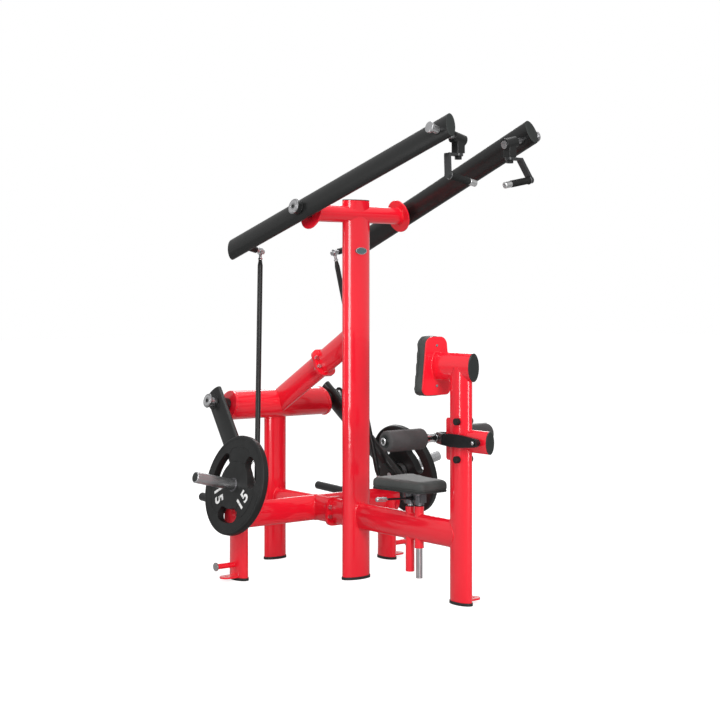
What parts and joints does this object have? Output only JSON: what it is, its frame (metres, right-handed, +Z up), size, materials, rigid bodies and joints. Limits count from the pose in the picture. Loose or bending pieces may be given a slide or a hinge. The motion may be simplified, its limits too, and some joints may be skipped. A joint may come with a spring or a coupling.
{
  "type": "lat pulldown machine",
  "caption": "Plate-loaded lat pulldown: two leaning lever arms with swivel handles, push rods to low weight levers, a central seat with thigh rollers, and a oval tube frame.",
  "frame": {"origin": "centre of the main column's foot face, on the floor", "axes": "+X to the seated user's right, +Y to the rear of the machine, +Z up"},
  "size_m": [1.4064, 1.6615, 1.994],
  "materials": {
    "red_paint": "gloss powder coat",
    "charcoal_paint": "semi-gloss powder coat",
    "black_paint": "satin powder coat",
    "bare_steel": "turned steel",
    "zinc": "bright plated",
    "casting": "grey cast",
    "dark_plastic": "moulded, matt",
    "upholstery": "grained vinyl",
    "foam": "skinned foam",
    "plate_rubber": "moulded rubber",
    "grip_rubber": "ribbed rubber",
    "bumper_rubber": "moulded rubber",
    "badge_metal": "blank plate with a plated rim"
  },
  "bodies": {
    "frame": {"main_column": "red_paint", "front_column": "red_paint", "rear_column": "red_paint", "left_leg": "red_paint", "right_leg": "red_paint", "cross_beam": "red_paint", "seat_beam": "red_paint", "front_spine": "red_paint", "mid_spine": "red_paint", "rear_spine": "red_paint", "upper_brace": "red_paint", "lower_brace": "red_paint", "top_crossbar": "red_paint", "pivot_beam": "red_paint", "pad_arm": "red_paint", "roller_stub": "red_paint", "floor_tabs": "red_paint", "band_pegs": "red_paint", "pad_plate": "red_paint", "seat_sleeves": "red_paint", "frame_bolts": "zinc", "pivot_axles": "bare_steel", "axle_caps": "dark_plastic", "foot_caps": "dark_plastic", "tube_plugs": "dark_plastic", "storage_horns": "black_paint", "chest_pad": "upholstery", "stop_plate": "black_paint", "bumpers": "bumper_rubber", "badge": "badge_metal"},
    "seat": {"seat_pad": "upholstery", "seat_bracket": "casting", "seat_piston": "bare_steel", "guide_rod": "bare_steel"},
    "seat_release": {"release_lever": "black_paint", "release_knob": "zinc"},
    "roller_frame": {"roller_frame": "black_paint", "roller_axle": "zinc"},
    "right_roller": {"right_roller": "foam"},
    "left_roller": {"left_roller": "foam"},
    "right_arm": {"right_arm": "charcoal_paint", "right_arm_pins": "bare_steel"},
    "right_swivel": {"right_swivel_block": "charcoal_paint"},
    "right_handle": {"right_handle_bar": "bare_steel", "right_handle_grip": "grip_rubber"},
    "right_push_rod": {"right_push_rod": "charcoal_paint", "right_rod_ends": "zinc"},
    "right_lever": {"right_lever": "charcoal_paint", "right_horn": "bare_steel"},
    "right_plate": {"right_plate": "plate_rubber"},
    "left_arm": {"left_arm": "charcoal_paint", "left_arm_pins": "bare_steel"},
    "left_swivel": {"left_swivel_block": "charcoal_paint"},
    "left_handle": {"left_handle_bar": "bare_steel", "left_handle_grip": "grip_rubber"},
    "left_push_rod": {"left_push_rod": "charcoal_paint", "left_rod_ends": "zinc"},
    "left_lever": {"left_lever": "charcoal_paint", "left_horn": "bare_steel"},
    "left_plate": {"left_plate": "plate_rubber"}
  },
  "joints": [
    {"name": "right_arm_swing", "type": "hinge", "parent": "frame", "child": "right_arm", "pos_m": [0.2975, 0, 1.6484], "axis": [0.9703, 0, 0.2419], "range_deg": [0, 35]},
    {"name": "right_lever_swing", "type": "hinge", "parent": "frame", "child": "right_lever", "pos_m": [0.3348, 0.6255, 0.766], "axis": [0.9703, 0, 0.2419], "range_deg": [-40.5, 0]},
    {"name": "right_rod_swing", "type": "hinge", "parent": "right_arm", "child": "right_push_rod", "pos_m": [0.216, 0.4455, 1.47596], "axis": [0.9703, 0, 0.2419], "range_deg": [-44.3, 0]},
    {"name": "right_swivel_hang", "type": "hinge", "parent": "right_arm", "child": "right_swivel", "pos_m": [0.2296, -0.846, 1.9208], "axis": [0.9703, 0, 0.2419], "range_deg": [-60, 60]},
    {"name": "right_handle_turn", "type": "hinge", "parent": "right_swivel", "child": "right_handle", "pos_m": [0.1422, -0.846, 1.842], "axis": [0, 0, 1], "range_deg": [-60, 60]},
    {"name": "right_plate_slide", "type": "slide", "parent": "right_lever", "child": "right_plate", "axis": [0.9703, 0, 0.2419], "range_m": [0, 0.2]},
    {"name": "left_arm_swing", "type": "hinge", "parent": "frame", "child": "left_arm", "pos_m": [-0.2975, 0, 1.6484], "axis": [0.9703, 0, -0.2419], "range_deg": [0, 35]},
    {"name": "left_lever_swing", "type": "hinge", "parent": "frame", "child": "left_lever", "pos_m": [-0.3348, 0.6255, 0.766], "axis": [0.9703, 0, -0.2419], "range_deg": [-40.5, 0]},
    {"name": "left_rod_swing", "type": "hinge", "parent": "left_arm", "child": "left_push_rod", "pos_m": [-0.216, 0.4455, 1.47596], "axis": [0.9703, 0, -0.2419], "range_deg": [-44.3, 0]},
    {"name": "left_swivel_hang", "type": "hinge", "parent": "left_arm", "child": "left_swivel", "pos_m": [-0.2296, -0.846, 1.9208], "axis": [0.9703, 0, -0.2419], "range_deg": [-60, 60]},
    {"name": "left_handle_turn", "type": "hinge", "parent": "left_swivel", "child": "left_handle", "pos_m": [-0.1422, -0.846, 1.842], "axis": [0, 0, 1], "range_deg": [-60, 60]},
    {"name": "left_plate_slide", "type": "slide", "parent": "left_lever", "child": "left_plate", "axis": [-0.9703, 0, 0.2419], "range_m": [0, 0.2]},
    {"name": "seat_height", "type": "slide", "parent": "frame", "child": "seat", "axis": [0, 0, 1], "range_m": [0, 0.1]},
    {"name": "seat_release_turn", "type": "hinge", "parent": "seat", "child": "seat_release", "pos_m": [-0.022, -0.41, 0.406], "axis": [0, 1, 0], "range_deg": [0, 12], "stiffness_Nm_per_rad": 2, "springref_deg": -17.19},
    {"name": "roller_frame_swing", "type": "hinge", "parent": "frame", "child": "roller_frame", "pos_m": [0, -0.832, 0.677], "axis": [1, 0, 0], "range_deg": [-15, 15]},
    {"name": "right_roller_spin", "type": "hinge", "parent": "roller_frame", "child": "right_roller", "pos_m": [0.185, -0.56, 0.677], "axis": [1, 0, 0], "continuous": true},
    {"name": "left_roller_spin", "type": "hinge", "parent": "roller_frame", "child": "left_roller", "pos_m": [-0.185, -0.56, 0.677], "axis": [1, 0, 0], "continuous": true}
  ],
  "couplings": [
    {"joint": "right_lever_swing", "follows": "right_arm_swing", "ratio": -1.154},
    {"joint": "right_rod_swing", "follows": "right_arm_swing", "ratio": -1.2622},
    {"joint": "left_lever_swing", "follows": "left_arm_swing", "ratio": -1.154},
    {"joint": "left_rod_swing", "follows": "left_arm_swing", "ratio": -1.2622}
  ]
}
